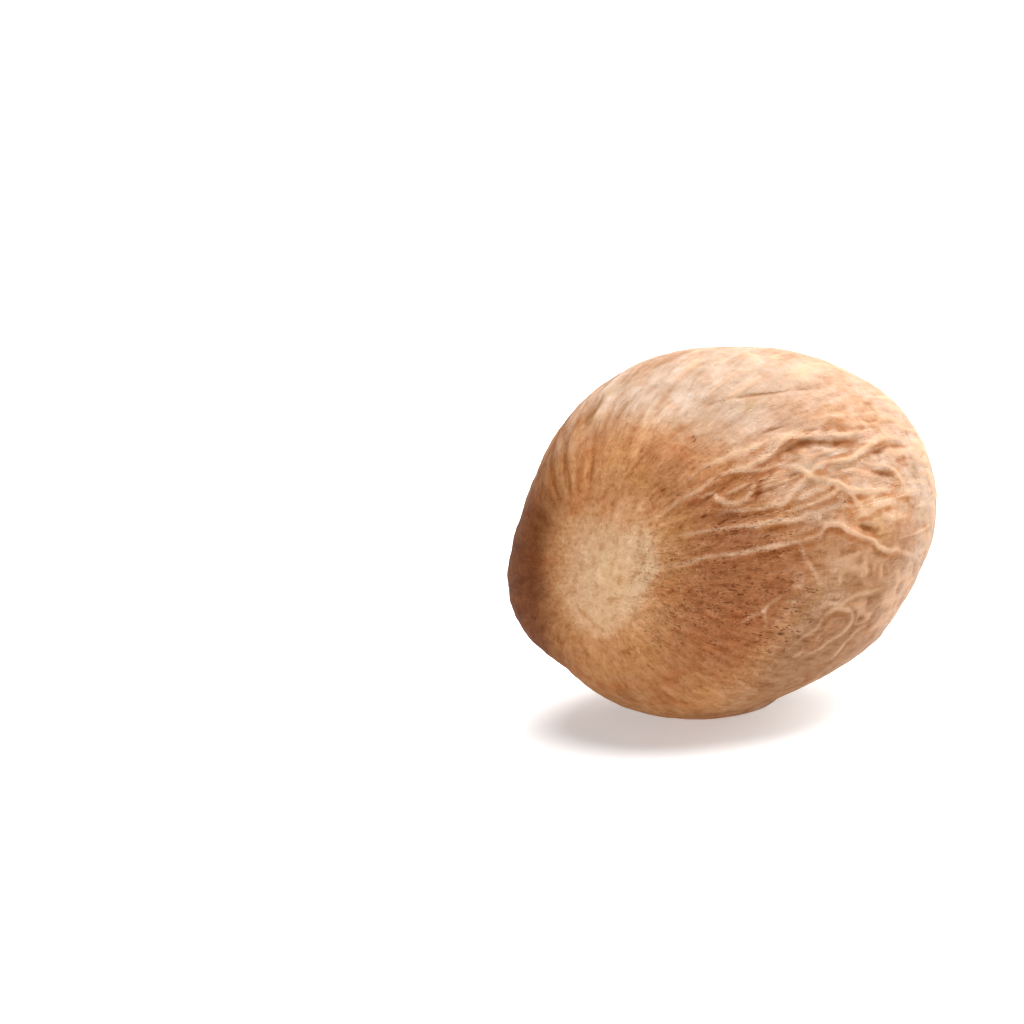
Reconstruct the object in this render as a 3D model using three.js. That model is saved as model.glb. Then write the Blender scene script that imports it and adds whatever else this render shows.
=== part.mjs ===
/**
 * A whole dried nutmeg, lying on its side.
 *
 * The seed is one closed solid. Every point of a fine sphere is a direction out of the seed's middle. It is
 * set out on an egg-shaped body, moved by broad swellings and hollows, and then by the relief: ridges that
 * branch over the far half, grooves beside them, the scar that they all run out from, and the dimple at the
 * other end. The seed lies along X with its scar towards -X, and stands on a small flat foot at z = 0.
 */
import * as THREE from 'three';
import { mergeVertices } from 'three/addons/utils/BufferGeometryUtils.js';

// ---- Driving dimensions: millimetres, and degrees for angles --------------------------------------------

const LENGTH = 26.4;
const WIDTH = 19.0;
const HEIGHT = 20.0;
const DROOP = 2.5; // how far the scar's end hangs below level
// The small foot that the seed rests on: how much is shaved off the lowest point, and the half sizes of the
// oval round the box's middle that is pressed flat. The surface rises smoothly out to `rim` times the oval.
const FOOT = { depth: 0.2, halfLength: 3, halfWidth: 2, rim: 1.5 };
const FACETS_PER_EDGE = 22; // along each edge of the icosahedron that the surface starts from

// A place on the body: `along` turns from the tip at -X to the one at +X, and `round` turns about the
// length, from the front (-Y) up over the top.
const SCAR_PLACE = { along: 20, round: 24 };

const SWELLINGS = [
  { name: 'shoulder hollow', along: 44, round: 152, height: -0.62, spread: 24 },
  { name: 'crown hollow', along: 103, round: 100, height: -0.35, spread: 15 },
  { name: 'crown flat', along: 122, round: 80, height: -0.25, spread: 16 },
  { name: 'far bulge', along: 146, round: 28, height: 0.2, spread: 24 },
  { name: 'far hollow', along: 130, round: -37, height: -0.48, spread: 13 },
  { name: 'belly hollow', along: 100, round: -66, height: -0.65, spread: 22 },
  { name: 'heel hollow', along: 45, round: -117, height: -0.3, spread: 14 },
  { name: 'heel bulge', along: 34, round: -148, height: 0.37, spread: 18 },
  { name: 'back bulge', along: 75, round: 195, height: 0.25, spread: 20 },
  { name: 'back hollow', along: 118, round: 172, height: -0.3, spread: 18 },
  { name: 'back corner', along: 150, round: -140, height: -0.25, spread: 16 },
];

// A place in the relief: [out, turn]. `out` is the angle from the scar's middle, and `turn` goes round the
// scar, from the front up over the top. Each ridge runs smoothly through its places and fades at its ends.
const RIDGE_WIDTH = 0.45;
const RIDGES = [
  { name: 'middle', height: 0.18, path: [[23, 24], [36, 21], [51, 18], [62, 14]] },
  { name: 'lower', height: 0.2, path: [[24, 2], [36, 7], [48, 9], [58, 10], [62, 13]] },
  { name: 'lower end', height: 0.2, path: [[60, 10], [62, 13], [69, 9], [80, 3], [95, -2], [103, -6]] },
  { name: 'upper crest', height: 0.24, path: [[20, 45], [31, 46], [53, 43], [64, 45], [80, 39], [100, 36]] },
  { name: 'second crest', height: 0.23, path: [[60, 31], [75, 31.5], [88, 35], [103, 33]] },
  { name: 'crossing', height: 0.21, path: [[54, 38], [61, 30], [70, 23], [80, 20.5], [90, 18]] },
  { name: 'upper feeder', height: 0.15, path: [[31, 38], [41, 34], [46, 33], [52, 35]] },
  { name: 'middle feeder', height: 0.15, path: [[47, 26], [51, 24], [57, 29], [61, 31]] },
  { name: 'peak', height: 0.18, path: [[50, 21.5], [64, 22.5], [70, 23], [74, 15]] },
  { name: 'far run', height: 0.18, path: [[69, 14], [83, 16], [106, 16]] },
  { name: 'arc', height: 0.14, path: [[77, 30], [85, 27], [93, 19]] },
  { name: 'inner', height: 0.13, path: [[33, 29], [40, 27], [51, 24]] },
  { name: 'high run', height: 0.14, path: [[28, 54], [47, 50], [61, 47]] },
  { name: 'hook', height: 0.13, path: [[42, -24], [47, -19], [51, -12]] },
  { name: 'lower arc', height: 0.15, path: [[62, -12], [74, -10], [80, -10], [81, -4]] },
  { name: 'loop', height: 0.15, path: [[64, -27], [66, -18], [78, -21], [72, -26], [65, -28]] },
];
const GROOVE_WIDTH = 0.4;
const GROOVES = [
  { name: 'under the upper crest', depth: 0.2, path: [[55, 41.5], [69, 39.5], [81, 36]] },
  { name: 'under the second crest', depth: 0.15, path: [[82, 31.5], [90, 32], [103, 31]] },
  { name: 'under the arc', depth: 0.13, path: [[79, 26.5], [83, 25], [89, 22]] },
  { name: 'above the lower end', depth: 0.13, path: [[70, 11.5], [75, 9.5], [82, 8]] },
  { name: 'inside the peak', depth: 0.14, path: [[61, 19], [65, 17], [70, 14]] },
  { name: 'over the shoulder', depth: 0.13, path: [[52, 75], [64, 65], [82, 57]] },
];

// The net of low ridges that covers the rest of the far half, clear of the named ones. `offset` is the place
// in the noise that it is cut from. Round `calmTurn` only `calmShare` of its height is left.
const NET = {
  height: 0.18,
  sharpness: 4,
  cellsRound: 7,
  cellsAlong: 1.8,
  offset: [10, 20, 30],
  clear: 1.2,
  starts: 30,
  full: 70,
  calmTurn: -85,
  calmSpread: 40,
  calmShare: 0.3,
};

const SCAR = { spread: 13, dip: 0.12 };
const DIMPLE = { spread: 7, dip: 0.45 }; // at the end away from the scar

// The shallow seam from scar to dimple. It wanders to both sides of its turn and fades at its ends.
const SEAM = { turn: -118, wander: 4, halfWidth: 5, depth: 0.09, from: 25, to: 172, fade: 15 };

// ---- Directions and places -------------------------------------------------------------------------------

const radians = THREE.MathUtils.degToRad;
const degrees = THREE.MathUtils.radToDeg;
const { clamp, lerp, smoothstep } = THREE.MathUtils;

const FRONT = new THREE.Vector3(0, -1, 0);
const HALF_SIZE = new THREE.Vector3(LENGTH / 2, WIDTH / 2, HEIGHT / 2);

/** The direction of a place on the body. */
function bodyDirection({ along, round }) {
  const a = radians(along);
  const r = radians(round);
  return new THREE.Vector3(-Math.cos(a), -Math.sin(a) * Math.cos(r), Math.sin(a) * Math.sin(r));
}

const scarAxis = bodyDirection(SCAR_PLACE);
const turnStart = FRONT.clone().addScaledVector(scarAxis, -FRONT.dot(scarAxis)).normalize();
const turnQuarter = scarAxis.clone().cross(turnStart);

/** The direction of a place in the relief. */
function reliefDirection([out, turn]) {
  const o = radians(out);
  const t = radians(turn);
  return new THREE.Vector3()
    .addScaledVector(scarAxis, Math.cos(o))
    .addScaledVector(turnStart, Math.sin(o) * Math.cos(t))
    .addScaledVector(turnQuarter, Math.sin(o) * Math.sin(t));
}

/** The angle from the scar's middle and the turn about it of a direction, in degrees. */
function reliefPlace(direction) {
  const across = direction.dot(turnStart);
  const up = direction.dot(turnQuarter);
  return {
    out: degrees(Math.acos(clamp(direction.dot(scarAxis), -1, 1))),
    turn: degrees(Math.atan2(up, across)),
  };
}

/** One near the middle, falling smoothly to nothing past `spread`. */
function bell(distance, spread) {
  return Math.exp(-((distance / spread) ** 2));
}

// ---- The smooth body -------------------------------------------------------------------------------------

const swellings = SWELLINGS.map((s) => ({ ...s, centre: bodyDirection(s) }));

/** The egg's outward normal in a direction. */
function bodyNormal(direction) {
  return direction.clone().divide(HALF_SIZE).normalize();
}

/** The point of the smooth body in a direction, before it is tipped and stood up. */
function bodyPoint(direction) {
  let height = 0;
  for (const swelling of swellings) {
    height += swelling.height * bell(degrees(direction.angleTo(swelling.centre)), swelling.spread);
  }
  return direction.clone().multiply(HALF_SIZE).addScaledVector(bodyNormal(direction), height);
}

// ---- The relief ------------------------------------------------------------------------------------------

const STEPS_PER_LINE = 16;

/** A ridge or groove as short straight stretches over the smooth body. */
function layLine(path) {
  const points = new THREE.CatmullRomCurve3(path.map((place) => bodyPoint(reliefDirection(place))))
    .getPoints(STEPS_PER_LINE);
  return points.slice(1).map((end, step) => new THREE.Line3(points[step], end));
}

const ridges = RIDGES.map((ridge) => ({ ...ridge, line: layLine(ridge.path) }));
const grooves = GROOVES.map((groove) => ({ ...groove, line: layLine(groove.path) }));
const nearest = new THREE.Vector3();

/** How far a point is from a line, and how much of the line's height is left there: it fades at its ends. */
function measureLine(line, point) {
  let distance = Infinity;
  let share = 0;
  line.forEach((stretch, step) => {
    const t = stretch.closestPointToPointParameter(point, true);
    const d = stretch.at(t, nearest).distanceTo(point);
    if (d < distance) {
      distance = d;
      share = (step + t) / line.length;
    }
  });
  return { distance, strength: Math.sqrt(Math.sin(Math.PI * clamp(share, 0.02, 0.98))) };
}

/** A number from 0 to 1 that is always the same for one corner of the noise's grid. */
function cornerValue(i, j, k) {
  const mixed = Math.sin(i * 127.1 + j * 311.7 + k * 74.7) * 43758.5453;
  return mixed - Math.floor(mixed);
}

/** Smooth noise from 0 to 1 in space. */
function noise(x, y, z) {
  const [i, j, k] = [x, y, z].map(Math.floor);
  const [u, v, w] = [x - i, y - j, z - k].map((t) => smoothstep(t, 0, 1));
  const row = (dj, dk) => lerp(cornerValue(i, j + dj, k + dk), cornerValue(i + 1, j + dj, k + dk), u);
  const sheet = (dk) => lerp(row(0, dk), row(1, dk), v);
  return lerp(sheet(0), sheet(1), w);
}

/** The height of the net of low ridges: it rises where the noise passes through its middle value. */
function netHeight({ out, turn }, distance) {
  const t = radians(turn);
  const [x, y, z] = NET.offset;
  const value = noise(
    x + NET.cellsRound * Math.cos(t),
    y + NET.cellsRound * Math.sin(t),
    z + NET.cellsAlong * radians(out),
  );
  const line = Math.max(0, 1 - NET.sharpness * Math.abs(value - 0.5));
  const calm = 1 - (1 - NET.calmShare) * bell(turn - NET.calmTurn, NET.calmSpread);
  return NET.height * line * calm * smoothstep(out, NET.starts, NET.full) * (1 - bell(distance, NET.clear));
}

/** How far the seam that joins the scar to the dimple sinks in. */
function seamDepth({ out, turn }) {
  const middle = SEAM.turn + SEAM.wander * Math.sin(radians(4 * out));
  const across = (turn - middle) * Math.sin(radians(out));
  const starting = smoothstep(out, SEAM.from, SEAM.from + SEAM.fade);
  const ends = starting * (1 - smoothstep(out, SEAM.to - SEAM.fade, SEAM.to));
  return SEAM.depth * bell(across, SEAM.halfWidth) * ends;
}

/** The height of the relief over the smooth body, at a point of it. */
function reliefHeight(direction, point) {
  const place = reliefPlace(direction);
  let ridgeHeight = 0;
  let clearance = Infinity;
  for (const { height, line } of ridges) {
    const { distance, strength } = measureLine(line, point);
    ridgeHeight = Math.max(ridgeHeight, height * strength * bell(distance, RIDGE_WIDTH));
    clearance = Math.min(clearance, distance);
  }
  let grooveDepth = 0;
  for (const { depth, line } of grooves) {
    const { distance, strength } = measureLine(line, point);
    grooveDepth = Math.max(grooveDepth, depth * strength * bell(distance, GROOVE_WIDTH));
    clearance = Math.min(clearance, distance);
  }
  const scarDip = SCAR.dip * bell(place.out, SCAR.spread);
  const dimpleDip = DIMPLE.dip * bell(180 - place.out, DIMPLE.spread);
  return ridgeHeight + netHeight(place, clearance) - grooveDepth - seamDepth(place) - scarDip - dimpleDip;
}

// ---- The solid -------------------------------------------------------------------------------------------

/** The seed's closed surface, tipped, standing on its foot with its box centred over the origin. */
function makeSeedGeometry() {
  const sphere = new THREE.IcosahedronGeometry(1, FACETS_PER_EDGE - 1);
  sphere.deleteAttribute('normal');
  sphere.deleteAttribute('uv');
  const geometry = mergeVertices(sphere, 1e-5);

  const position = geometry.getAttribute('position');
  const tipAxis = new THREE.Vector3(0, 1, 0);
  const points = [];
  for (let index = 0; index < position.count; index += 1) {
    const direction = new THREE.Vector3().fromBufferAttribute(position, index).normalize();
    const point = bodyPoint(direction);
    point.addScaledVector(bodyNormal(direction), reliefHeight(direction, point));
    points.push(point.applyAxisAngle(tipAxis, -radians(DROOP)));
  }

  const box = new THREE.Box3().setFromPoints(points);
  const middle = box.getCenter(new THREE.Vector3());
  const floor = box.min.z + FOOT.depth;
  points.forEach((point, index) => {
    const x = point.x - middle.x;
    const y = point.y - middle.y;
    const reach = Math.hypot(x / FOOT.halfLength, y / FOOT.halfWidth);
    const pressed = point.z < middle.z ? 1 - smoothstep(reach, 1, FOOT.rim) : 0;
    position.setXYZ(index, x, y, Math.max(lerp(point.z, floor, pressed), floor) - floor);
  });
  geometry.computeVertexNormals();
  return geometry;
}

const shell = new THREE.MeshStandardMaterial({ color: 0xb98a62, roughness: 0.7, metalness: 0 });

const nutmeg = new THREE.Mesh(makeSeedGeometry(), shell);
nutmeg.name = 'nutmeg';

const model = new THREE.Group();
model.add(nutmeg);

export default model;
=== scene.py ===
"""A whole dried nutmeg on a pale floor.

The seed is worked out in millimetres round the middle of its body, stood on its flat spot, and turned into
metres. Its surface is one fine mesh. The same functions that raise its ridges also say where it is pale,
brown, dusty or pitted, and the material mixes its colours by those masks.
"""

import logging
import math
from collections.abc import Mapping, Sequence
from dataclasses import dataclass, field, replace
from enum import Enum
from functools import cached_property

import bpy
import numpy as np
from mathutils import Matrix, Vector


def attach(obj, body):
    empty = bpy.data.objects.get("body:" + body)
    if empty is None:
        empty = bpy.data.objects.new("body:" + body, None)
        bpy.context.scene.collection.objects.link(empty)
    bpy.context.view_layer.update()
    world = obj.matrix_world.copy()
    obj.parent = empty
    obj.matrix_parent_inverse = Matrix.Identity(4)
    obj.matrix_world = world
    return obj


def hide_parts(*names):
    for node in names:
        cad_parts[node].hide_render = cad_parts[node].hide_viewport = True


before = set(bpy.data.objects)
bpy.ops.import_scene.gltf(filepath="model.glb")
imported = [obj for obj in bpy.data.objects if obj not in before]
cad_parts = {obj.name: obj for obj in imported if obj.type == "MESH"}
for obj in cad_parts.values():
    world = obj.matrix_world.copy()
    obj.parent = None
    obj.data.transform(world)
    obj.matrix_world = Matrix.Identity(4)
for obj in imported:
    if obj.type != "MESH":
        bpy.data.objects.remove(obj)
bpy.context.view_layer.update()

MM = 0.001
WHITE = (1.0, 1.0, 1.0, 1.0)

log = logging.getLogger("nutmeg")
Array = np.ndarray
Socket = bpy.types.NodeSocket
Colour = tuple[float, float, float, float]
Triple = tuple[float, float, float]
Span = tuple[float, float]


# ---- Small sums ----


def bell(distance: Array, spread: float | Array) -> Array:
    """One near the middle, falling smoothly to nothing past the spread."""
    return np.exp(-((distance / spread) ** 2))


def smoothstep(value: Array, low: float | Array, high: float | Array) -> Array:
    """Zero below low, one above high, and smooth between them."""
    t = np.clip((value - low) / (high - low), 0.0, 1.0)
    return t * t * (3.0 - 2.0 * t)


def unit(vectors: Array) -> Array:
    """The same vectors with a length of one."""
    return vectors / np.linalg.norm(vectors, axis=-1, keepdims=True)


def turn_apart(turn: Array, centre: float) -> Array:
    """The smaller angle between turns and a centre, in degrees, with its sign."""
    return (turn - centre + 180.0) % 360.0 - 180.0


def seen_at(azimuth: float, height: float) -> Vector:
    """The direction of something at an azimuth and a height, in degrees."""
    a, h = math.radians(azimuth), math.radians(height)
    return Vector((math.sin(a) * math.cos(h), -math.cos(a) * math.cos(h), math.sin(h)))


def catmull_rom(knots: Array, steps: int) -> Array:
    """A smooth track through knots.

    Args:
        knots: Points to pass through, one a row.
        steps: Short stretches between two neighbouring knots.

    Returns:
        The track's points, one a row, the first and last knots among them.
    """
    padded = np.vstack([2 * knots[0] - knots[1], knots, 2 * knots[-1] - knots[-2]])
    t = np.linspace(0.0, 1.0, steps, endpoint=False)[:, None]
    track = []
    for before, start, end, after in zip(padded, padded[1:], padded[2:], padded[3:]):
        bend = 2 * before - 5 * start + 4 * end - after
        twist = 3 * start - before - 3 * end + after
        track.append(start + 0.5 * t * ((end - before) + t * (bend + t * twist)))
    return np.vstack([*track, knots[-1:]])


@dataclass(frozen=True)
class Noise:
    """Smooth values from 0 to 1 in space, the same on every run."""

    shift: Triple = (0.0, 0.0, 0.0)

    HASH, STRETCH = (127.1, 311.7, 74.7), 43758.5453
    FINER, APART = 2.03, 17.3

    def _corner(self, cells: Array) -> Array:
        """A value from 0 to 1 for each corner of the grid."""
        mixed = np.sin(cells @ np.array(self.HASH)) * self.STRETCH
        return mixed - np.floor(mixed)

    def at(self, points: Array) -> Array:
        """The noise at points, one value for each."""
        places = points + np.array(self.shift)
        cells = np.floor(places)
        share = smoothstep(places - cells, 0.0, 1.0)
        total = np.zeros(len(points))
        for step in np.ndindex(2, 2, 2):
            weight = np.prod(np.where(step, share, 1.0 - share), axis=1)
            total += weight * self._corner(cells + np.array(step))
        return total

    def layers(self, points: Array, count: int) -> Array:
        """Noise with finer and weaker noise added.

        Args:
            points: Where to read it.
            count: Number of layers, each half the size of the one before.

        Returns:
            Values from 0 to 1, mostly near the middle.
        """
        total = np.zeros(len(points))
        weights = 0.0
        for layer in range(count):
            weight = 0.5**layer
            total += weight * self.at(points * self.FINER**layer + self.APART * layer)
            weights += weight
        return total / weights


# ---- The seed's form ----


@dataclass(frozen=True)
class Place:
    """A place on the body, in degrees: along from the tip at -X, and round from the front over the top."""

    along: float
    round: float

    def direction(self) -> Array:
        """The direction of the place from the seed's middle."""
        a, r = math.radians(self.along), math.radians(self.round)
        return np.array([-math.cos(a), -math.sin(a) * math.cos(r), math.sin(a) * math.sin(r)])


@dataclass(frozen=True)
class Swelling:
    """A broad bulge or hollow of the body: its height in millimetres and its spread in degrees."""

    name: str
    place: Place
    height: float
    spread: float


@dataclass(frozen=True)
class Foot:
    """The small flat foot, in millimetres: what is shaved off, and the oval that is pressed flat."""

    depth: float = 0.2
    half_length: float = 3.0
    half_width: float = 2.0
    rim: float = 1.5


@dataclass(frozen=True)
class EggBody:
    """The smooth body under the relief, in millimetres."""

    length: float = 26.4
    width: float = 19.0
    height: float = 20.0
    droop: float = 2.5
    foot: Foot = Foot()
    swellings: tuple[Swelling, ...] = (
        Swelling("shoulder hollow", Place(44, 152), -0.62, 24),
        Swelling("crown hollow", Place(103, 100), -0.35, 15),
        Swelling("crown flat", Place(122, 80), -0.25, 16),
        Swelling("far bulge", Place(146, 28), 0.20, 24),
        Swelling("far hollow", Place(130, -37), -0.48, 13),
        Swelling("belly hollow", Place(100, -66), -0.65, 22),
        Swelling("heel hollow", Place(45, -117), -0.30, 14),
        Swelling("heel bulge", Place(34, -148), 0.37, 18),
        Swelling("back bulge", Place(75, 195), 0.25, 20),
        Swelling("back hollow", Place(118, 172), -0.30, 18),
        Swelling("back corner", Place(150, -140), -0.25, 16),
    )

    @property
    def half_size(self) -> Array:
        """Half of each side of the body without its swellings."""
        return np.array([self.length, self.width, self.height]) / 2

    def normals(self, directions: Array) -> Array:
        """The outward normals of the body in some directions."""
        return unit(directions / self.half_size)

    def points(self, directions: Array) -> Array:
        """The points of the smooth body in some directions, before it is tipped."""
        height = np.zeros(len(directions))
        for swelling in self.swellings:
            apart = np.degrees(np.arccos(np.clip(directions @ swelling.place.direction(), -1.0, 1.0)))
            height += swelling.height * bell(apart, swelling.spread)
        return directions * self.half_size + self.normals(directions) * height[:, None]

    def tipped(self, points: Array) -> Array:
        """The points with the scar's end lowered."""
        return points @ np.array(Matrix.Rotation(math.radians(-self.droop), 3, "Y")).T

    def stood(self, points: Array) -> Array:
        """Stands the finished surface up.

        Args:
            points: The surface's points, tipped.

        Returns:
            The points with the foot at z = 0 and the box's middle over the origin.
        """
        foot = self.foot
        middle = (points.min(axis=0) + points.max(axis=0)) / 2
        standing = points - np.array([middle[0], middle[1], points[:, 2].min() + foot.depth])
        reach = np.hypot(standing[:, 0] / foot.half_length, standing[:, 1] / foot.half_width)
        pressed = (1.0 - smoothstep(reach, 1.0, foot.rim)) * (points[:, 2] < middle[2])
        standing[:, 2] = np.maximum(standing[:, 2] * (1.0 - pressed), 0.0)
        return standing


@dataclass(frozen=True)
class ScarFrame:
    """Measures the surface from the scar: out is the angle from its middle, turn goes round it."""

    place: Place = Place(20, 24)

    @property
    def axes(self) -> tuple[Array, Array, Array]:
        """The direction of the scar, of turn 0 and of turn 90."""
        axis = self.place.direction()
        front = np.array([0.0, -1.0, 0.0])
        start = unit(front - (front @ axis) * axis)
        return axis, start, np.cross(axis, start)

    def directions(self, outs: Array, turns: Array) -> Array:
        """The directions of places in the relief, given in degrees."""
        axis, start, quarter = self.axes
        o, t = np.radians(outs)[:, None], np.radians(turns)[:, None]
        return np.cos(o) * axis + np.sin(o) * (np.cos(t) * start + np.sin(t) * quarter)

    def measure(self, directions: Array) -> tuple[Array, Array]:
        """The out and turn of some directions, in degrees."""
        axis, start, quarter = self.axes
        out = np.degrees(np.arccos(np.clip(directions @ axis, -1.0, 1.0)))
        return out, np.degrees(np.arctan2(directions @ quarter, directions @ start))


# ---- The relief ----


@dataclass(frozen=True)
class SurfaceLine:
    """A ridge or groove over the body.

    Its height is in millimetres, below zero for a groove. Its width, in millimetres too, is how far out its
    colour falls to a third. Its path holds (out, turn) places in degrees.
    """

    name: str
    height: float
    width: float
    path: tuple[Span, ...]

    STEPS = 5
    REACH = 2.5
    FADE = 0.02
    CREST, BASE, BASE_SHARE = 1.4, 3.4, 0.3

    def track(self, body: EggBody, scar: ScarFrame) -> Array:
        """The line's own points on the smooth body, one a row."""
        outs, turns = np.array(self.path, float).T
        return catmull_rom(body.points(scar.directions(outs, turns)), self.STEPS)

    def measure(self, points: Array, track: Array) -> tuple[Array, Array]:
        """Measures points of the smooth body from the line.

        Args:
            points: The points.
            track: The line's own points.

        Returns:
            The distance of each point from the line, above zero on the side of the larger turns, and how
            much of the line is left there: it fades at its ends.
        """
        middle = track.mean(axis=0)
        reach = np.linalg.norm(track - middle, axis=1).max() + self.REACH
        near = np.flatnonzero(np.linalg.norm(points - middle, axis=1) < reach)
        close, distance = points[near], np.full(len(near), np.inf)
        share, side = np.zeros(len(near)), np.ones(len(near))
        for step, (start, end) in enumerate(zip(track, track[1:])):
            run, offset = end - start, close - start
            t = np.clip(offset @ run / (run @ run), 0.0, 1.0)
            apart = np.linalg.norm(offset - t[:, None] * run, axis=1)
            closer = apart < distance
            share = np.where(closer, (step + t) / (len(track) - 1), share)
            turned = np.einsum("ij,ij->i", np.cross(run, offset), close)
            side = np.where(closer, np.sign(turned), side)
            distance = np.minimum(apart, distance)
        signed, strength = np.full(len(points), self.REACH), np.zeros(len(points))
        signed[near] = np.clip(side * distance, -self.REACH, self.REACH)
        strength[near] = np.sqrt(np.sin(np.pi * np.clip(share, self.FADE, 1.0 - self.FADE)))
        return signed, strength

    def profile(self, distance: Array) -> Array:
        """The line's height as a share of its full one: a narrow crest on a broad base."""
        crest, base = bell(distance, self.CREST * self.width), bell(distance, self.BASE * self.width)
        return (1.0 - self.BASE_SHARE) * crest + self.BASE_SHARE * base


def ridge(name: str, height: float, *path: Span, width: float = 0.16) -> SurfaceLine:
    """A ridge of the usual width."""
    return SurfaceLine(name, height, width, path)


def groove(name: str, depth: float, *path: Span, width: float = 0.15) -> SurfaceLine:
    """A groove of the usual width."""
    return SurfaceLine(name, -depth, width, path)


RIDGES = (
    ridge("middle", 0.06, (17, 25.5), (23, 24), (29, 22), (36, 21), (43, 19), (49.3, 18.2), (53.4, 17.2),
          (56.4, 17.4), (58.7, 17.3), (60.2, 15.1), (62.5, 13), (66, 12), (71, 9.5)),
    ridge("lower", 0.06, (17, 0), (24, 3), (29, 6), (36, 7), (42, 9), (48, 9), (54, 9), (58, 10), (62, 13)),
    ridge("lower end", 0.07, (60, 10), (62, 13), (66, 12), (69, 9), (77, 6), (80, 3), (87, 1), (95, -2),
          (103, -6)),
    ridge("upper crest", 0.09, (20, 45), (31, 46), (43, 44), (53, 43), (60, 46), (64, 45), (70, 42), (80, 39),
          (100, 36)),
    ridge("second crest", 0.10, (60, 31), (66, 33), (75, 31.5), (79, 33), (88, 35), (103, 33)),
    ridge("crossing", 0.09, (54, 38), (59, 34), (61, 30), (67, 26), (70, 23), (75, 21), (80, 20.5), (90, 18)),
    ridge("upper feeder", 0.068, (31, 43), (34, 41), (35.8, 38.3), (36.3, 35), (38.3, 31.6), (41.9, 31),
          (44.8, 33), (46.3, 36), (46, 40), width=0.18),
    ridge("middle feeder", 0.07, (47, 26), (51, 24), (54, 27), (57, 29), (61, 31)),
    ridge("peak", 0.08, (50, 21.5), (58, 21), (64, 22.5), (68, 24), (70, 23), (72, 19), (74, 15)),
    ridge("far run", 0.08, (69, 14), (76, 15), (83, 16), (92, 17), (106, 16)),
    ridge("arc", 0.06, (77, 30), (85, 27), (90, 24), (93, 19)),
    ridge("inner", 0.06, (33, 29), (37, 28.5), (40, 27), (44, 25), (51, 24)),
    ridge("low feeder", 0.05, (66, 19), (71, 17), (76, 18), (83, 20)),
    ridge("far knot", 0.05, (80, 14), (83, 11), (88, 10), (94, 11)),
    ridge("fork", 0.06, (43, 44), (49, 40), (54, 38)),
    ridge("high run", 0.06, (28, 54), (38, 53), (47, 50), (55, 48), (61, 47)),
    ridge("crown run", 0.05, (66, 50), (76, 47), (88, 44), (98, 44)),
    ridge("hook", 0.038, (42, -26), (44, -23.6), (46, -20), (48, -16.7), (48.7, -14), (53, -10.5)),
    ridge("hook branch", 0.035, (47, -15), (48.5, -19), (50, -23), (51, -27)),
    ridge("patch rim", 0.04, (53, 9), (54.7, 6.7), (55.5, 2.7), (57.7, -1.6), (60, -5), (63.8, -7.7),
          (72, -9), width=0.22),
    ridge("lower arc", 0.05, (59, -18), (63.8, -13.8), (68.7, -13.6), (72.3, -12.3), (77.6, -11), (88, -10),
          width=0.2),
    ridge("loop", 0.05, (60, -37), (61.6, -29), (63.3, -25.5), (65.3, -22.6), (65.6, -19.6), (67, -16.5),
          (70, -15.2), (74, -16.8), (76.6, -20), (75.2, -24.8), (72.4, -27.5), (70.6, -30.7), (68, -33.6),
          (65, -42), width=0.19),
    ridge("low spur", 0.05, (79, -37), (79, -33.5), (78.6, -30), (79.4, -27), (81.4, -24.5), (87, -21),
          width=0.19),
)
GROOVES = (
    groove("under the upper crest", 0.09, (55, 41.5), (64, 42), (69, 39.5), (73, 37.5), (81, 36), width=0.26),
    groove("under the second crest", 0.07, (82, 31.5), (90, 32), (103, 31), width=0.18),
    groove("under the arc", 0.06, (79, 26.5), (83, 25), (89, 22), width=0.22),
    groove("under the crossing", 0.05, (83, 18.5), (87, 17.8), (92, 17.5), width=0.24),
    groove("above the lower end", 0.06, (70, 11.5), (75, 9.5), (82, 8), width=0.22),
    groove("inside the peak", 0.03, (61, 19), (65, 17), (70, 14), width=0.26),
    groove("beside the fork", 0.06, (46, 35.5), (50, 35.5), (52, 37)),
    groove("above the feeders", 0.05, (43.5, 30), (47, 31), (51, 30.5)),
    groove("between the feeders", 0.05, (54, 32), (58, 32.5)),
    groove("over the second crest", 0.05, (64, 36), (69, 34.5), width=0.2),
    groove("beside the inner run", 0.04, (31, 25.5), (37, 24.5), (47, 21.5), width=0.2),
    groove("first step", 0.05, (33, 44), (40, 43.5), (45, 42)),
    groove("top left", 0.04, (68, 87), (60, 85), (54, 83)),
    groove("over the shoulder", 0.05, (52, 75), (58, 70), (64, 65), (74, 60), (82, 57)),
    groove("crown", 0.05, (54, 51), (58, 51), (63, 49.5)),
    groove("crown end", 0.05, (65, 46.5), (71, 44)),
    groove("far corner", 0.05, (85, 43), (88, 41), (94, 41)),
)
DASHES = tuple(
    groove("dash", 0.07, (out, turn), (out + length, turn), width=0.06)
    for out, turn, length in (
        (25, 58, 2), (34, 56, 3), (41, 66, 2), (30, 31.5, 2), (33, 24.5, 4), (19.5, 26, 3), (22, 20, 3),
        (36, 17, 2), (44, 13.5, 3), (39, 12, 3), (33, 38.5, 3), (86, -2, 3), (37, -8, 1), (41, -8, 1),
        (27, 49, 2), (38, 45, 2), (56, 15.8, 3), (29, 12, 3),
    )
)
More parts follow.
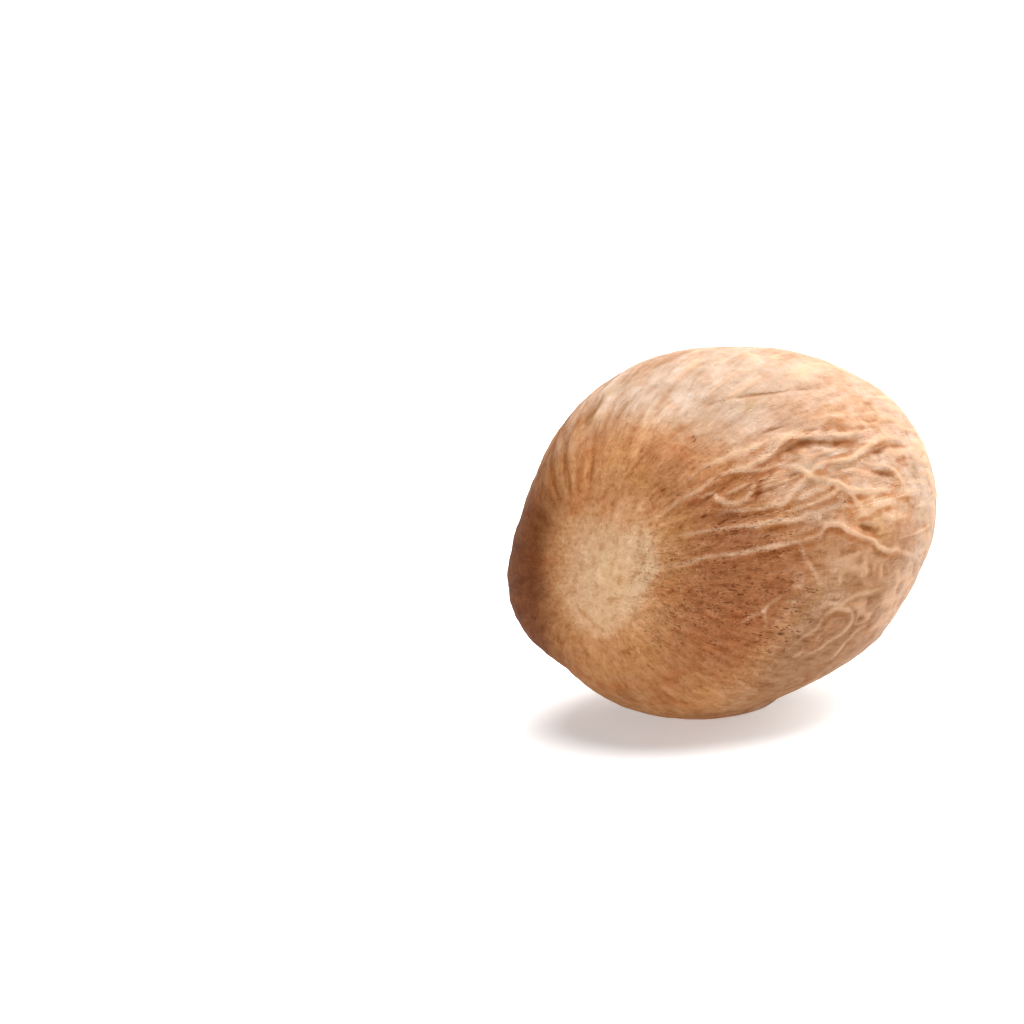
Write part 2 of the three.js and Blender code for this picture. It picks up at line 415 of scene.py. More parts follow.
STAINS = tuple(
    SurfaceLine("stain", strength, width, tuple(path))
    for strength, width, *path in (
        (1.0, 0.26, (70, 38.3), (75.6, 36.6), (80.5, 35)),
        (0.9, 0.32, (62, 35.9), (65.6, 36.1), (69, 36.5)),
        (0.8, 0.14, (51, 41), (55.5, 41.3), (59.6, 42), (65, 42)),
        (1.0, 0.50, (38, 41), (41, 40.5), (44, 39.5), (49, 38)),
        (0.5, 0.50, (33, 52), (37, 53.5), (42, 52)),
        (0.5, 0.70, (21, 68), (26, 76), (31, 80)),
        (0.6, 0.60, (37, 118), (42, 122), (48, 123)),
        (0.4, 0.90, (84, 45), (92, 41), (100, 36)),
        (0.9, 0.30, (45.8, 32.9), (48.8, 33), (52, 34)),
        (0.8, 0.26, (52.2, 29.2), (55.5, 30.7), (59.2, 31.3)),
        (0.6, 0.36, (60, 19.5), (62.4, 20.7), (65, 21.5)),
        (0.8, 0.32, (69.2, 20.4), (72.8, 18.7), (77.6, 16.7)),
        (0.9, 0.20, (81, 18.6), (85.1, 17.8), (89.7, 16.9)),
        (0.6, 0.28, (67, 15), (69.1, 13), (71.1, 11.8), (74, 10.7)),
        (0.9, 0.34, (64, 8.3), (65.6, 9.4), (67.1, 9.6)),
        (0.7, 0.18, (79.2, 27), (83.9, 24.5), (87.5, 21.4)),
        (0.9, 0.10, (85.7, 42.8), (90.5, 40.7), (96.8, 39.5)),
        (0.8, 0.10, (58.5, 52.7), (60.9, 50.5), (63.7, 48.3)),
        (0.7, 0.10, (67.8, 45), (72.2, 43.1)),
        (0.6, 0.30, (100.5, 7.9), (103.9, 3.7), (110, -1)),
        (0.7, 0.13, (81, 32.4), (84.6, 31.8), (88, 31.4)),
        (1.0, 0.18, (39, 26.1), (41.8, 24.7), (45.1, 22.3), (50.3, 20.8), (56, 18.9)),
        (0.8, 0.26, (43.3, 16.7), (47.7, 15.7), (52.5, 13.5)),
        (0.9, 0.14, (40.7, 46.6), (43.6, 46.9), (46.6, 47.2)),
        (0.9, 0.11, (48, 41.5), (50.6, 39.8), (53.3, 40.2)),
        (0.9, 0.11, (47.2, 36.5), (49.4, 35.7), (52.6, 35.4)),
        (0.8, 0.16, (42.4, 30.6), (45.6, 30.9), (48.6, 30.9)),
        (0.8, 0.14, (33, 56.3), (35.2, 55.2), (37.5, 54.9)),
        (0.7, 0.34, (69.6, 9.8), (74.4, 8.1), (80.5, 6.1)),
        (0.8, 0.16, (31, 40.1), (34, 39.2), (37, 39.7)),
        (0.6, 0.18, (20.3, 55.9), (25.7, 55.8), (31.7, 55)),
        (0.6, 0.16, (19.6, 44), (25.3, 44), (31, 44)),
        (0.5, 0.16, (22, 35), (28, 35), (34, 34)),
        (0.5, 0.22, (36, 79), (41, 76), (47, 72)),
        (0.45, 0.5, (40, 70), (43.5, 64)),
        (0.6, 0.22, (39, 94), (41, 90)),
        (0.8, 0.36, (40, 124.7), (48.7, 125.1), (57, 126.4)),
        (0.9, 0.24, (25, 144.2), (32.6, 142.3), (39, 137)),
        (0.7, 0.26, (21, 123.2), (27.1, 120.9), (34, 119.2)),
        (0.5, 0.24, (36, 112), (42, 110), (49, 110)),
    )
)


@dataclass(frozen=True)
class Surface:
    """Where the surface's points lie: on the smooth body in millimetres, and from the scar in degrees."""

    points: Array
    out: Array
    turn: Array

    @cached_property
    def grain(self) -> Array:
        """The turn as a place on a circle, and the out in radians, so that noise runs out from the scar."""
        turn = np.radians(self.turn)
        return np.stack([np.cos(turn), np.sin(turn), np.radians(self.out)], axis=1)

    @cached_property
    def right(self) -> Array:
        """How far round the front a point lies from the scar's middle, in degrees."""
        return self.out * self.grain[:, 0]

    @cached_property
    def up(self) -> Array:
        """How far over the top a point lies from the scar's middle, in degrees."""
        return self.out * self.grain[:, 1]

    def patchy(self, seed: Triple, size: float, layers: int = 3) -> Array:
        """Noise round zero, in patches of a size in millimetres."""
        return Noise(seed).layers(self.points / size, layers) - 0.5

    def streaky(self, seed: Triple, cells: Triple, layers: int) -> Array:
        """Noise round zero, with so many cells in each direction of the grain."""
        return Noise(seed).layers(self.grain * np.array(cells), layers) - 0.5


@dataclass(frozen=True)
class Patch:
    """A soft patch of the surface, in degrees.

    Its turn and its out are each a middle and a spread. It begins and ends over two stretches of out, and
    some of it may be left past its end.
    """

    share: float
    turn: Span = (0, math.inf)
    out: Span = (0, math.inf)
    begins: Span | None = None
    ends: Span | None = None
    left: float = 0.0

    def on(self, surface: Surface) -> Array:
        """The patch's strength at each point of a surface."""
        round_scar = bell(turn_apart(surface.turn, self.turn[0]), self.turn[1])
        strength = self.share * round_scar * bell(surface.out - self.out[0], self.out[1])
        if self.begins:
            strength = strength * smoothstep(surface.out, *self.begins)
        if self.ends:
            strength = strength * (1.0 - (1.0 - self.left) * smoothstep(surface.out, *self.ends))
        return strength


def strongest(surface: Surface, *patches: Patch) -> Array:
    """The strength of the strongest of some patches at each point."""
    return np.maximum.reduce([patch.on(surface) for patch in patches])


@dataclass(frozen=True)
class Net:
    """The net of low ridges that covers the far half, clear of the named ridges.

    Its coarse ridges lie where one noise passes its middle, and its threads where a finer one does, which
    runs along the grain or, where it is curled, in every direction. Lengths are in millimetres.
    """

    height: float = 0.08
    sharpness: float = 6.0
    cells: Triple = (7.0, 7.0, 1.8)
    offset: Triple = (10.0, 20.0, 30.0)
    bend: float = 0.1
    bend_cells: Triple = (18.0, 18.0, 8.0)
    clear: float = 0.8
    covered: Patch = Patch(1, begins=(30, 70))
    calm: Patch = Patch(0.9, turn=(-85, 42))
    whole: float = 1.7
    least: float = 0.3
    thread_height: float = 0.056
    thread_sharpness: float = 3.6
    thread_cells: Triple = (16.1, 16.1, 4.14)
    thread_clear: float = 0.3
    curl: float = 0.85
    curled: Patch = Patch(1, turn=(-18, 28), begins=(44, 60))
    ridged: Patch = Patch(1, turn=(32, 22), begins=(24, 44))

    @staticmethod
    def raised(values: Array) -> Array:
        """The height of a ridge, from 0 to 1: it stands where the values pass zero."""
        return np.maximum(0.0, 1.0 - np.abs(values)) ** 1.5


@dataclass(frozen=True)
class Scar:
    """The pale patch that the ridges run out from: angles in degrees, its dip in millimetres.

    It is a rounded oblong, sharpest on one side, with a warmer fringe of fibres round it. Its softness, its
    fringe and how ragged they are count in shares of its half sides.
    """

    middle: Span = (1, -3.8)
    half_sides: Span = (13.4, 18.5)
    squareness: float = 3.2
    ragged: float = 0.8
    ragged_size: float = 1.4
    soft: float = 0.18
    softer: float = 0.55
    drawn_in: float = 0.31
    sharp_turn: float = -10.0
    fringe: float = 0.1
    fringe_bulge: Patch = Patch(0.22, turn=(22, 62))
    fringe_soft: float = 0.34
    frayed: float = 0.6
    frayed_cells: Triple = (26.0, 26.0, 6.0)
    dip: Patch = Patch(0.12, out=(0, 13))


@dataclass(frozen=True)
class Seam:
    """The faint furrow that joins the scar to the dimple at the other end, on the underside."""

    turn: float = -118.0
    wander: float = 4.0
    waves: float = 4.0
    half_width: float = 5.0
    depth: Patch = Patch(0.09, begins=(25, 40), ends=(157, 172))


@dataclass(frozen=True)
class ShellMap:
    """The patches that each mask of the shell is put together from, and where some of them begin."""

    umber_belly: Patch = Patch(1.1, turn=(-16, 50), out=(38, 25))
    umber_above: Patch = Patch(0.5, turn=(58, 38), out=(28, 14))
    umber_begins: Span = (14, 34)
    deep_share: float = 1.15
    # The deepest brown is partly a painted shadow: the shade of a neighbouring seed on the rim beyond the
    # scar, darkest low down.
    deep_far: Patch = Patch(1, turn=(-175, 50), out=(36, 27))
    painted_shadow_low: Patch = Patch(0.65, turn=(-146, 24), out=(46, 12))
    deep_begins: Span = (10, 26)
    dull_share: float = 1.05
    dull_low: Patch = Patch(1, turn=(-30, 42), begins=(46, 68))
    # Over the top the paler colour is a painted highlight, the shell bleached by the lamps.
    painted_highlight_top: Patch = Patch(1.1, turn=(88, 54), begins=(29, 58))
    fair_ridges: Patch = Patch(0.825, turn=(31, 25), begins=(42, 66))
    fair_end: Patch = Patch(0.495, begins=(76, 100))
    fair_end_above: Patch = Patch(0.605, turn=(40, 60), begins=(76, 100))
    less_fair: Patch = Patch(0.35, turn=(80, 60), begins=(74, 96))
    # Painted light: the underside low on the front is lightened as the floor's bounce lights it.
    painted_bounce_low: Patch = Patch(1, turn=(-76, 28), begins=(44, 64), ends=(88, 118))
    pale_peak: Patch = Patch(0.85, turn=(14, 9), out=(79, 15))
    pale_crown: Patch = Patch(0.4, turn=(86, 24), out=(42, 13))
    pale_scar: float = 0.3
    pale_scar_right: Span = (6, 9)
    pale_scar_up: Span = (-4, 13)
    pitted_everywhere: float = 0.22
    pitted_belly: Patch = Patch(0.8, turn=(-6, 56), begins=(7, 14), ends=(52, 78))
    pitted_less: Patch = Patch(0.3, turn=(80, 60), begins=(40, 70))
    streaked_everywhere: float = 0.25
    streaked_top: Patch = Patch(0.75, turn=(130, 42), ends=(60, 90), left=0.4)
    streaked_diagonal: Patch = Patch(0.6, turn=(46, 28), out=(32, 16))
    streaked_rim: Patch = Patch(0.525, turn=(-160, 45), out=(38, 20))
    streaks_begin: Span = (14, 28)
    stained: Patch = Patch(0.75, turn=(27, 30), begins=(28, 44), ends=(88, 116))
    dusty_everywhere: float = 0.3
    dusty_above: float = 0.4
    dusty_from: Span = (8, 30)
    dusty_to: Span = (110, 160)
    dusty_crossing: Patch = Patch(0.5, turn=(30, 10), out=(56, 11))
    dust_begins: Span = (42, 64)
    cobbled: Patch = Patch(0.12, turn=(-2, 13), out=(76, 14))
    cobbles: Patch = Patch(1, begins=(30, 55))


class Mask(Enum):
    """What the surface's masks say; each value is the name of a mesh attribute."""

    RISE = "rise"
    SCAR = "scar"
    FRINGE = "fringe"
    UMBER = "umber"
    DULL = "dull"
    # The deepest brown, partly a painted shadow on the rim beyond the scar.
    DEEP = "deep_and_shadow"
    # Paler colour: a painted highlight over the top, the shell's paler tone towards the far end.
    FAIR = "fair_and_highlight"
    # Lighter shell; low on the front this is painted light, the floor's bounce.
    PALE = "pale"
    STAIN = "stain"
    STREAK = "streak"
    BLOOM = "bloom"
    PITTED = "pitted"
    THREADED = "threaded"


class Guide(Enum):
    """Vectors that the finest detail is drawn along; each value is the name of a mesh attribute."""

    GRAIN = "grain"
    LINE_PLACE = "line_place"
    LINE_HEIGHT = "line_height"
    NET = "net"


@dataclass
class Relief:
    """Everything that stands on the smooth body or is cut into it. Lengths are in millimetres."""

    body: EggBody
    scar_frame: ScarFrame
    net: Net = Net()
    scar: Scar = Scar()
    seam: Seam = Seam()
    shell: ShellMap = ShellMap()
    dimple_spread: float = 7.0
    dimple_dip: float = 0.45
    usual_height: float = 0.075
    furrows: float = 0.08
    cobbles: float = 0.04
    fine: float = 0.03
    wobble: float = 0.34
    rise_range: float = 0.2
    grain_opens: float = 20.0
    uneven: float = 0.4
    height: Array = field(init=False)
    masks: dict[Mask, Array] = field(init=False)
    guides: dict[Guide, Array] = field(init=False)

    LAYERS = 3
    LINE_EDGE = 6.0

    def carve(self, directions: Array) -> None:
        """Works out the relief's height, the surface's masks and its guides.

        Args:
            directions: The directions of the surface's points from the seed's middle.
        """
        at = Surface(self.body.points(directions), *self.scar_frame.measure(directions))
        opened = np.tanh(at.out / self.grain_opens) * np.tanh((180.0 - at.out) / self.grain_opens)
        self.guides = {Guide.GRAIN: at.grain * np.stack([opened, opened, np.ones(len(opened))], axis=1)}

        shifts = [at.patchy((seed, 2 * seed, 3 * seed), size=1.2) for seed in (11.0, 23.0, 37.0)]
        wobbled = replace(at, points=at.points + self.wobble * np.stack(shifts, axis=1))
        crest, hollow, clearance = self._lines(wobbled)
        net, threaded = self._net(at, clearance)
        streak = self._streak(at)
        scar, fringe = self._scar(at)

        low = crest + net - hollow + self._cobbles(at)
        low += self.furrows * (streak - 0.5) + self.fine * at.patchy((3.0, 5.0, 8.0), size=0.35, layers=2)
        dimple = self.dimple_dip * bell(180.0 - at.out, self.dimple_spread)
        self.height = low - self._seam(at) - self.scar.dip.on(at) - dimple
        self.masks = {
            Mask.RISE: 0.5 + low / self.rise_range,
            Mask.SCAR: scar,
            Mask.FRINGE: fringe,
            Mask.UMBER: self._umber(at),
            Mask.DULL: self._dull(at),
            Mask.DEEP: self._deep_and_shadow(at),
            Mask.FAIR: self._fair_and_highlight(at),
            Mask.PALE: self._pale_and_bounce(at),
            Mask.STAIN: self._stain(wobbled),
            Mask.STREAK: streak,
            Mask.BLOOM: self._bloom(at),
            Mask.PITTED: self._pitted(at),
            Mask.THREADED: threaded,
        }
        self.masks = {mask: np.clip(values, 0.0, 1.0) for mask, values in self.masks.items()}

    def _shared_out(self) -> list[list[tuple[SurfaceLine, Array]]]:
        """The lines and their tracks, in layers in which no two lie close together."""
        layers: list[list[tuple[SurfaceLine, Array]]] = [[] for _ in range(self.LAYERS)]
        for line in (*RIDGES, *GROOVES, *DASHES):
            track = line.track(self.body, self.scar_frame)

            def room(layer: list[tuple[SurfaceLine, Array]]) -> float:
                """The distance from the track to the nearest one of a layer."""
                gaps = (np.linalg.norm(track[:, None] - other, axis=2).min() for _, other in layer)
                return min(gaps, default=math.inf)

            max(layers, key=room).append((line, track))
        return layers

    def _lines(self, at: Surface) -> tuple[Array, Array, Array]:
        """Lays the named ridges and grooves.

        Args:
            at: The surface.

        Returns:
            The height of the ridges, the depth of the grooves, and the distance to the nearest ridge.
        """
        count = len(at.points)
        crest, hollow = np.zeros(count), np.zeros(count)
        clearance = np.full(count, SurfaceLine.REACH)
        uneven = 0.9 + 1.1 * at.patchy((7.0, 1.0, 4.0), size=0.9, layers=2)
        places = np.full((count, self.LAYERS), self.LINE_EDGE)
        heights = np.zeros((count, self.LAYERS))
        for layer, lines in enumerate(self._shared_out()):
            for line, track in lines:
                signed, strength = line.measure(at.points, track)
                distance, place = np.abs(signed), signed / line.width
                raised = abs(line.height) * strength * uneven * line.profile(distance)
                if line.height > 0:
                    crest = np.maximum(crest, raised)
                    clearance = np.minimum(clearance, distance)
                else:
                    hollow = np.maximum(hollow, raised)
                own = np.abs(place) < np.abs(places[:, layer])
                places[own, layer] = place[own]
                heights[own, layer] = line.height / self.usual_height * (strength * uneven)[own]
        self.guides[Guide.LINE_PLACE] = places
        self.guides[Guide.LINE_HEIGHT] = heights
        return crest, hollow, clearance

    def _net(self, at: Surface, clearance: Array) -> tuple[Array, Array]:
        """Lays the net of low ridges, coarse ones and threads between them.

        Args:
            at: The surface.
            clearance: The distance to the nearest named ridge.

        Returns:
            The net's height, and the mask of where its threads lie.
        """
        net = self.net
        curled = net.curled.on(at)
        bend = net.bend * at.streaky((2.0, 9.0, 6.0), net.bend_cells, layers=2)
        straight = at.streaky((40.0, 50.0, 60.0), net.thread_cells, layers=1)
        curly = at.patchy((0.0, 0.0, 0.0), size=net.curl, layers=1)
        coarse = net.sharpness * (at.streaky(net.offset, net.cells, layers=1) + bend)
        small = net.thread_sharpness * (straight + curled * (curly - straight) + bend)

        covered = net.covered.on(at) * (1.0 - net.calm.on(at))
        gaps = smoothstep(at.patchy((6.0, 3.0, 9.0), size=net.whole, layers=2), -0.1, 0.1)
        broken = net.least + (1.0 - net.least) * gaps
        share = covered * broken * (1.0 - bell(clearance, net.clear))
        threaded = np.maximum.reduce([0.5 * covered, net.ridged.on(at), curled * broken])
        threaded *= 1.0 - bell(clearance, net.thread_clear)
        self.guides[Guide.NET] = np.stack([coarse, small, share], axis=1)
        threads = net.thread_height * net.raised(small) * threaded
        return np.maximum(net.height * net.raised(coarse) * share, threads), threaded

    def _scar(self, at: Surface) -> tuple[Array, Array]:
        """The masks of the pale patch, with its ragged edge, and of the warm fringe of fibres round it."""
        scar = self.scar
        across = np.abs(at.right - scar.middle[0]) / scar.half_sides[0]
        along = np.abs(at.up - scar.middle[1]) / scar.half_sides[1]
        reach = (across**scar.squareness + along**scar.squareness) ** (1.0 / scar.squareness)
        away = 0.5 - 0.5 * np.cos(np.radians(turn_apart(at.turn, scar.sharp_turn)))
        inside = 1.0 - scar.drawn_in * away - reach
        ragged = inside - scar.ragged * at.patchy((6.0, 6.0, 1.0), scar.ragged_size)
        frayed = inside + scar.frayed * at.streaky((2.0, 6.0, 5.0), scar.frayed_cells, layers=3)
        fringed = frayed + scar.fringe + scar.fringe_bulge.on(at)
        patch = smoothstep(ragged / (scar.soft + scar.softer * away), -1.0, 1.0)
        return patch, smoothstep(fringed / (scar.fringe_soft + scar.softer * away), -1.0, 1.0)

    def _streak(self, at: Surface) -> Array:
        """The mask of the soft streaks that run out from the scar, 0.5 where there are none."""
        shell = self.shell
        broad = at.streaky((4.0, 2.0, 7.0), (8.0, 8.0, 3.0), layers=3)
        narrow = at.streaky((8.0, 3.0, 5.0), (16.0, 16.0, 4.5), layers=2)
        streaked = strongest(at, shell.streaked_top, shell.streaked_diagonal, shell.streaked_rim)
        share = (shell.streaked_everywhere + streaked) * smoothstep(at.out, *shell.streaks_begin)
        return 0.5 + (smoothstep(0.35 * broad + 0.65 * narrow, -0.22, 0.22) - 0.5) * share

    def _pitted(self, at: Surface) -> Array:
        """The mask of where the small dark pits lie close together."""
        shell = self.shell
        uneven = 0.5 * at.patchy((5.0, 5.0, 2.0), size=1.8, layers=2)
        return shell.pitted_everywhere + shell.pitted_belly.on(at) - shell.pitted_less.on(at) + uneven

    def _cobbles(self, at: Surface) -> Array:
        """The height of the small bumps, strongest beside the end of the lower ridge."""
        bumps = at.patchy((9.0, 4.0, 4.0), size=0.5, layers=2)
        return (self.cobbles + self.shell.cobbled.on(at)) * bumps * self.shell.cobbles.on(at)

    def _seam(self, at: Surface) -> Array:
        """The depth of the seam."""
        seam = self.seam
        middle = seam.turn + seam.wander * np.sin(np.radians(seam.waves * at.out))
        across = turn_apart(at.turn - middle, 0.0) * np.sin(np.radians(at.out))
        return seam.depth.on(at) * bell(across, seam.half_width)

    def _uneven(self, at: Surface, seed: Triple, size: float = 2.2) -> Array:
        """What the brown and fair masks are made uneven by, in patches of a size in millimetres."""
        return self.uneven * at.patchy(seed, size)

    def _umber(self, at: Surface) -> Array:
        """The mask of the darker brown round the scar, widest below it and to its right."""
        shell = self.shell
        brown = shell.umber_belly.on(at) + shell.umber_above.on(at) + self._uneven(at, (2.0, 2.0, 9.0))
        return np.clip(brown, 0.0, 1.0) * smoothstep(at.out, *shell.umber_begins)

    def _deep_and_shadow(self, at: Surface) -> Array:
        """The mask of the deepest brown on the far side of the scar: partly the shell's own dark brown,
        partly a painted shadow, the shade that a neighbouring seed casts on that rim.
        """
        shell = self.shell
        far = shell.deep_far.on(at) * (shell.deep_share + self._uneven(at, (4.0, 4.0, 7.0)))
        return np.clip(far + shell.painted_shadow_low.on(at), 0.0, 1.0) * smoothstep(at.out, *shell.deep_begins)

    def _dull(self, at: Surface) -> Array:
        """The mask of the dull brown low on the far half."""
        return self.shell.dull_low.on(at) * (self.shell.dull_share + self._uneven(at, (8.0, 2.0, 2.0)))

    def _fair_and_highlight(self, at: Surface) -> Array:
        """The mask of the paler colour: over the top it is a painted highlight, the shell bleached by the
        lamps; towards the far end and over the ridges it is the shell's paler tone.
        """
        shell = self.shell
        end = shell.fair_end.on(at) + shell.fair_end_above.on(at)
        fair_and_highlight = np.maximum(strongest(at, shell.painted_highlight_top, shell.fair_ridges), end)
        return fair_and_highlight * (1.0 - shell.less_fair.on(at)) + self._uneven(at, (3.0, 7.0, 2.0), size=2.6)

    def _pale_and_bounce(self, at: Surface) -> Array:
        """The mask that lightens the shell: low on the front it is painted light, the floor's bounce on the
        underside; it also lightens inside the peak of the ridges and on the scar.
        """
        shell = self.shell
        (right, wide), (up, high) = shell.pale_scar_right, shell.pale_scar_up
        scar = shell.pale_scar * bell(at.right - right, wide) * bell(at.up - up, high)
        return np.maximum(strongest(at, shell.painted_bounce_low, shell.pale_peak, shell.pale_crown), scar)

    def _stain(self, at: Surface) -> Array:
        """The mask of the brown stains in the hollows: the large ones, and many small long ones."""
        long = at.streaky((3.0, 1.0, 9.0), (20.0, 20.0, 6.5), layers=3)
        mask = smoothstep(long, -0.02, 0.12) * self.shell.stained.on(at)
        for line in STAINS:
            signed, strength = line.measure(at.points, line.track(self.body, self.scar_frame))
            mask = np.maximum(mask, line.height * strength * bell(signed, line.width))
        return mask * (1.0 + 1.4 * at.patchy((6.0, 2.0, 3.0), size=0.5, layers=2))

    def _bloom(self, at: Surface) -> Array:
        """The mask of the pinkish dust between the ridges, thickest where they cross."""
        shell = self.shell
        crossing = shell.dusty_crossing.on(at)
        cloud = smoothstep(at.patchy((1.0, 8.0, 6.0), size=1.5) + 0.2 * crossing, 0.0, 0.2)
        above = smoothstep(at.turn, *shell.dusty_from) * (1.0 - smoothstep(at.turn, *shell.dusty_to))
        share = shell.dusty_everywhere + shell.dusty_above * above + crossing
        return cloud * share * smoothstep(at.out, *shell.dust_begins)


# ---- Shader writing ----


class Wave:
    """A number that varies over the surface, so that sums on it can be written as expressions."""

    def __init__(self, tree: "ShaderTree", socket: Socket) -> None:
        """Wraps a socket of a tree."""
        self.tree = tree
        self.socket = socket

    def _sum(self, operation: str, *numbers: "Wave | float", clamp: bool = False) -> "Wave":
        """Adds one Math node for two numbers and returns its result."""
        settings = {"operation": operation, "use_clamp": clamp}
        node = self.tree.node("ShaderNodeMath", settings, dict(enumerate(numbers)))
        return Wave(self.tree, node.outputs[0])

    def __add__(self, other: "Wave | float") -> "Wave":
        """The sum of two numbers."""
        return self._sum("ADD", self, other)

    __radd__ = __add__

    def __sub__(self, other: "Wave | float") -> "Wave":
        """The other number taken from this one."""
        return self._sum("SUBTRACT", self, other)

    def __rsub__(self, other: float) -> "Wave":
        """This number taken from another."""
        return self._sum("SUBTRACT", other, self)

    def __mul__(self, other: "Wave | float") -> "Wave":
        """The product of two numbers."""
        return self._sum("MULTIPLY", self, other)

    __rmul__ = __mul__

    def __neg__(self) -> "Wave":
        """The number with its sign turned round."""
        return self * -1.0

    def at_least(self, other: "Wave | float") -> "Wave":
        """The larger of two numbers."""
        return self._sum("MAXIMUM", self, other)

    def clamped(self) -> "Wave":
        """The number held between 0 and 1."""
        return self._sum("ADD", self, 0.0, clamp=True)

    def between(self, low: float, high: float) -> "Wave":
        """Zero at low, one at high, and smooth between them."""
        settings = {"interpolation_type": "SMOOTHSTEP"}
        node = self.tree.node("ShaderNodeMapRange", settings, {0: self, 1: low, 2: high})
        return Wave(self.tree, node.outputs[0])

    def bell(self) -> "Wave":
        """One where the number is 0, falling smoothly to nothing on both sides of it."""
        return self._sum("POWER", math.e, -(self * self))


Input = Wave | Socket | float | Sequence[float]
Key = str | int


class ShaderTree:
    """The nodes of one material."""

    MIX_FACTOR, MIX_FIRST, MIX_SECOND, MIX_RESULT = 0, 6, 7, 2

    def __init__(self, name: str) -> None:
        """Makes an empty material of that name."""
        self.material = bpy.data.materials.new(name)
        self.material.use_nodes = True
        self.nodes = self.material.node_tree.nodes
        self.links = self.material.node_tree.links
        self.nodes.clear()

    def node(self, kind: str, settings: Mapping[str, object], inputs: Mapping[Key, Input]) -> bpy.types.Node:
        """Adds a node.

        Args:
            kind: The node's type.
            settings: Its properties, set before anything is plugged in.
            inputs: The values or links of its sockets, by name or number.

        Returns:
            The new node.
        """
        made = self.nodes.new(kind)
        for name, setting in settings.items():
            setattr(made, name, setting)
        for key, value in inputs.items():
            if isinstance(value, Wave):
                self.links.new(value.socket, made.inputs[key])
            elif isinstance(value, Socket):
                self.links.new(value, made.inputs[key])
            else:
                made.inputs[key].default_value = value
        return made

    def mask(self, mask: Mask) -> Wave:
        """One of the surface's masks."""
        return Wave(self, self.node("ShaderNodeAttribute", {"attribute_name": mask.value}, {}).outputs["Fac"])

    def guide(self, guide: Guide) -> Socket:
        """One of the surface's guides."""
        return self.node("ShaderNodeAttribute", {"attribute_name": guide.value}, {}).outputs["Vector"]

    def split(self, vector: Socket) -> list[Wave]:
        """The three numbers of a vector."""
        return [Wave(self, socket) for socket in self.node("ShaderNodeSeparateXYZ", {}, {0: vector}).outputs]

    def noise(self, vector: Socket, scale: float, detail: float, rough: float = 0.6) -> Wave:
        """Smooth noise along a vector."""
        inputs = {"Vector": vector, "Scale": scale, "Detail": detail, "Roughness": rough}
        return Wave(self, self.node("ShaderNodeTexNoise", {}, inputs).outputs["Fac"])

    def grain_cells(self, cells: Span) -> Socket:
        """The grain, divided into so many cells round the scar and outward."""
        inputs = {0: self.guide(Guide.GRAIN), 1: (cells[0], *cells)}
        return self.node("ShaderNodeVectorMath", {"operation": "MULTIPLY"}, inputs).outputs[0]

    def drawn_out(self, cells: Span, detail: float, rough: float = 0.6) -> Wave:
        """Noise along the grain, with so many cells round the scar and outward."""
        return self.noise(self.grain_cells(cells), 1.0, detail, rough)

    def finished(self, inputs: Mapping[Key, Input]) -> bpy.types.Material:
        """Adds the shader with its inputs, and returns the material."""
        shader = self.node("ShaderNodeBsdfPrincipled", {}, inputs)
        self.node("ShaderNodeOutputMaterial", {}, {"Surface": shader.outputs["BSDF"]})
        return self.material

    def specks(self, vector: Socket) -> tuple[Wave, Wave]:
        """Specks strewn along a vector, one in each cell.

        Args:
            vector: Where to measure from, in cells.

        Returns:
            The distance to the nearest speck in cells, and that speck's own value from 0 to 1.
        """
        node = self.node("ShaderNodeTexVoronoi", {}, {"Vector": vector, "Scale": 1.0})
        value = self.split(node.outputs["Color"])[0]
        return Wave(self, node.outputs["Distance"]), value

    def mix(self, blend: "Blend", factor: Wave, first: Input, second: Input) -> Socket:
        """Mixes two colours.

        Args:
            blend: How the second colour meets the first.
            factor: How much of the second colour shows, from 0 to 1.
            first: The colour below.
            second: The colour above.

        Returns:
            The mixed colour.
        """
        inputs = {self.MIX_FACTOR: factor, self.MIX_FIRST: first, self.MIX_SECOND: second}
        settings = {"data_type": "RGBA", "blend_type": blend.value}
        return self.node("ShaderNodeMix", settings, inputs).outputs[self.MIX_RESULT]


class Blend(Enum):
    """How a colour is laid over another one."""

    COVER = "MIX"
    SHADE = "MULTIPLY"


def srgb(red: int, green: int, blue: int) -> Colour:
    """A colour given from 0 to 255, as the linear values that a shader takes."""

    def linear(level: int) -> float:
        """One channel in linear light."""
        share = level / 255
        return share / 12.92 if share <= 0.04045 else ((share + 0.055) / 1.055) ** 2.4

    return linear(red), linear(green), linear(blue), 1.0


@dataclass(frozen=True)
class Tint:
    """A colour laid over the shell: how strongly, and the levels of a mask between which it comes in."""

    colour: Colour
    amount: float = 1.0
    starts: float = 0.0
    full: float = 1.0
    blend: Blend = Blend.COVER

    def over(self, tree: ShaderTree, below: Input, where: Wave, share: Wave | float) -> Socket:
        """Lays the tint over a colour.

        Args:
            tree: The material's nodes.
            below: The colour that it is laid over.
            where: The mask that it follows.
            share: A second mask, or a number, that weakens it.

        Returns:
            The new colour.
        """
        factor = (where.between(self.starts, self.full) * self.amount * share).clamped()
        return tree.mix(self.blend, factor, below, self.colour)


def shade(red: float, green: float, blue: float, starts: float, full: float, amount: float = 1.0) -> Tint:
    """A tint that darkens or lightens whatever lies below it by the shares given for each channel."""
    return Tint((red, green, blue, 1.0), amount, starts, full, Blend.SHADE)


@dataclass(frozen=True)
class TintPair:
    """A dark tint for the low values of a mask, and a light one for its high values."""

    dark: Tint
    light: Tint

    def over(self, tree: ShaderTree, below: Input, where: Wave, share: Wave | float) -> Socket:
        """Lays both tints over a colour."""
        return self.light.over(tree, self.dark.over(tree, below, where, share), where, share)


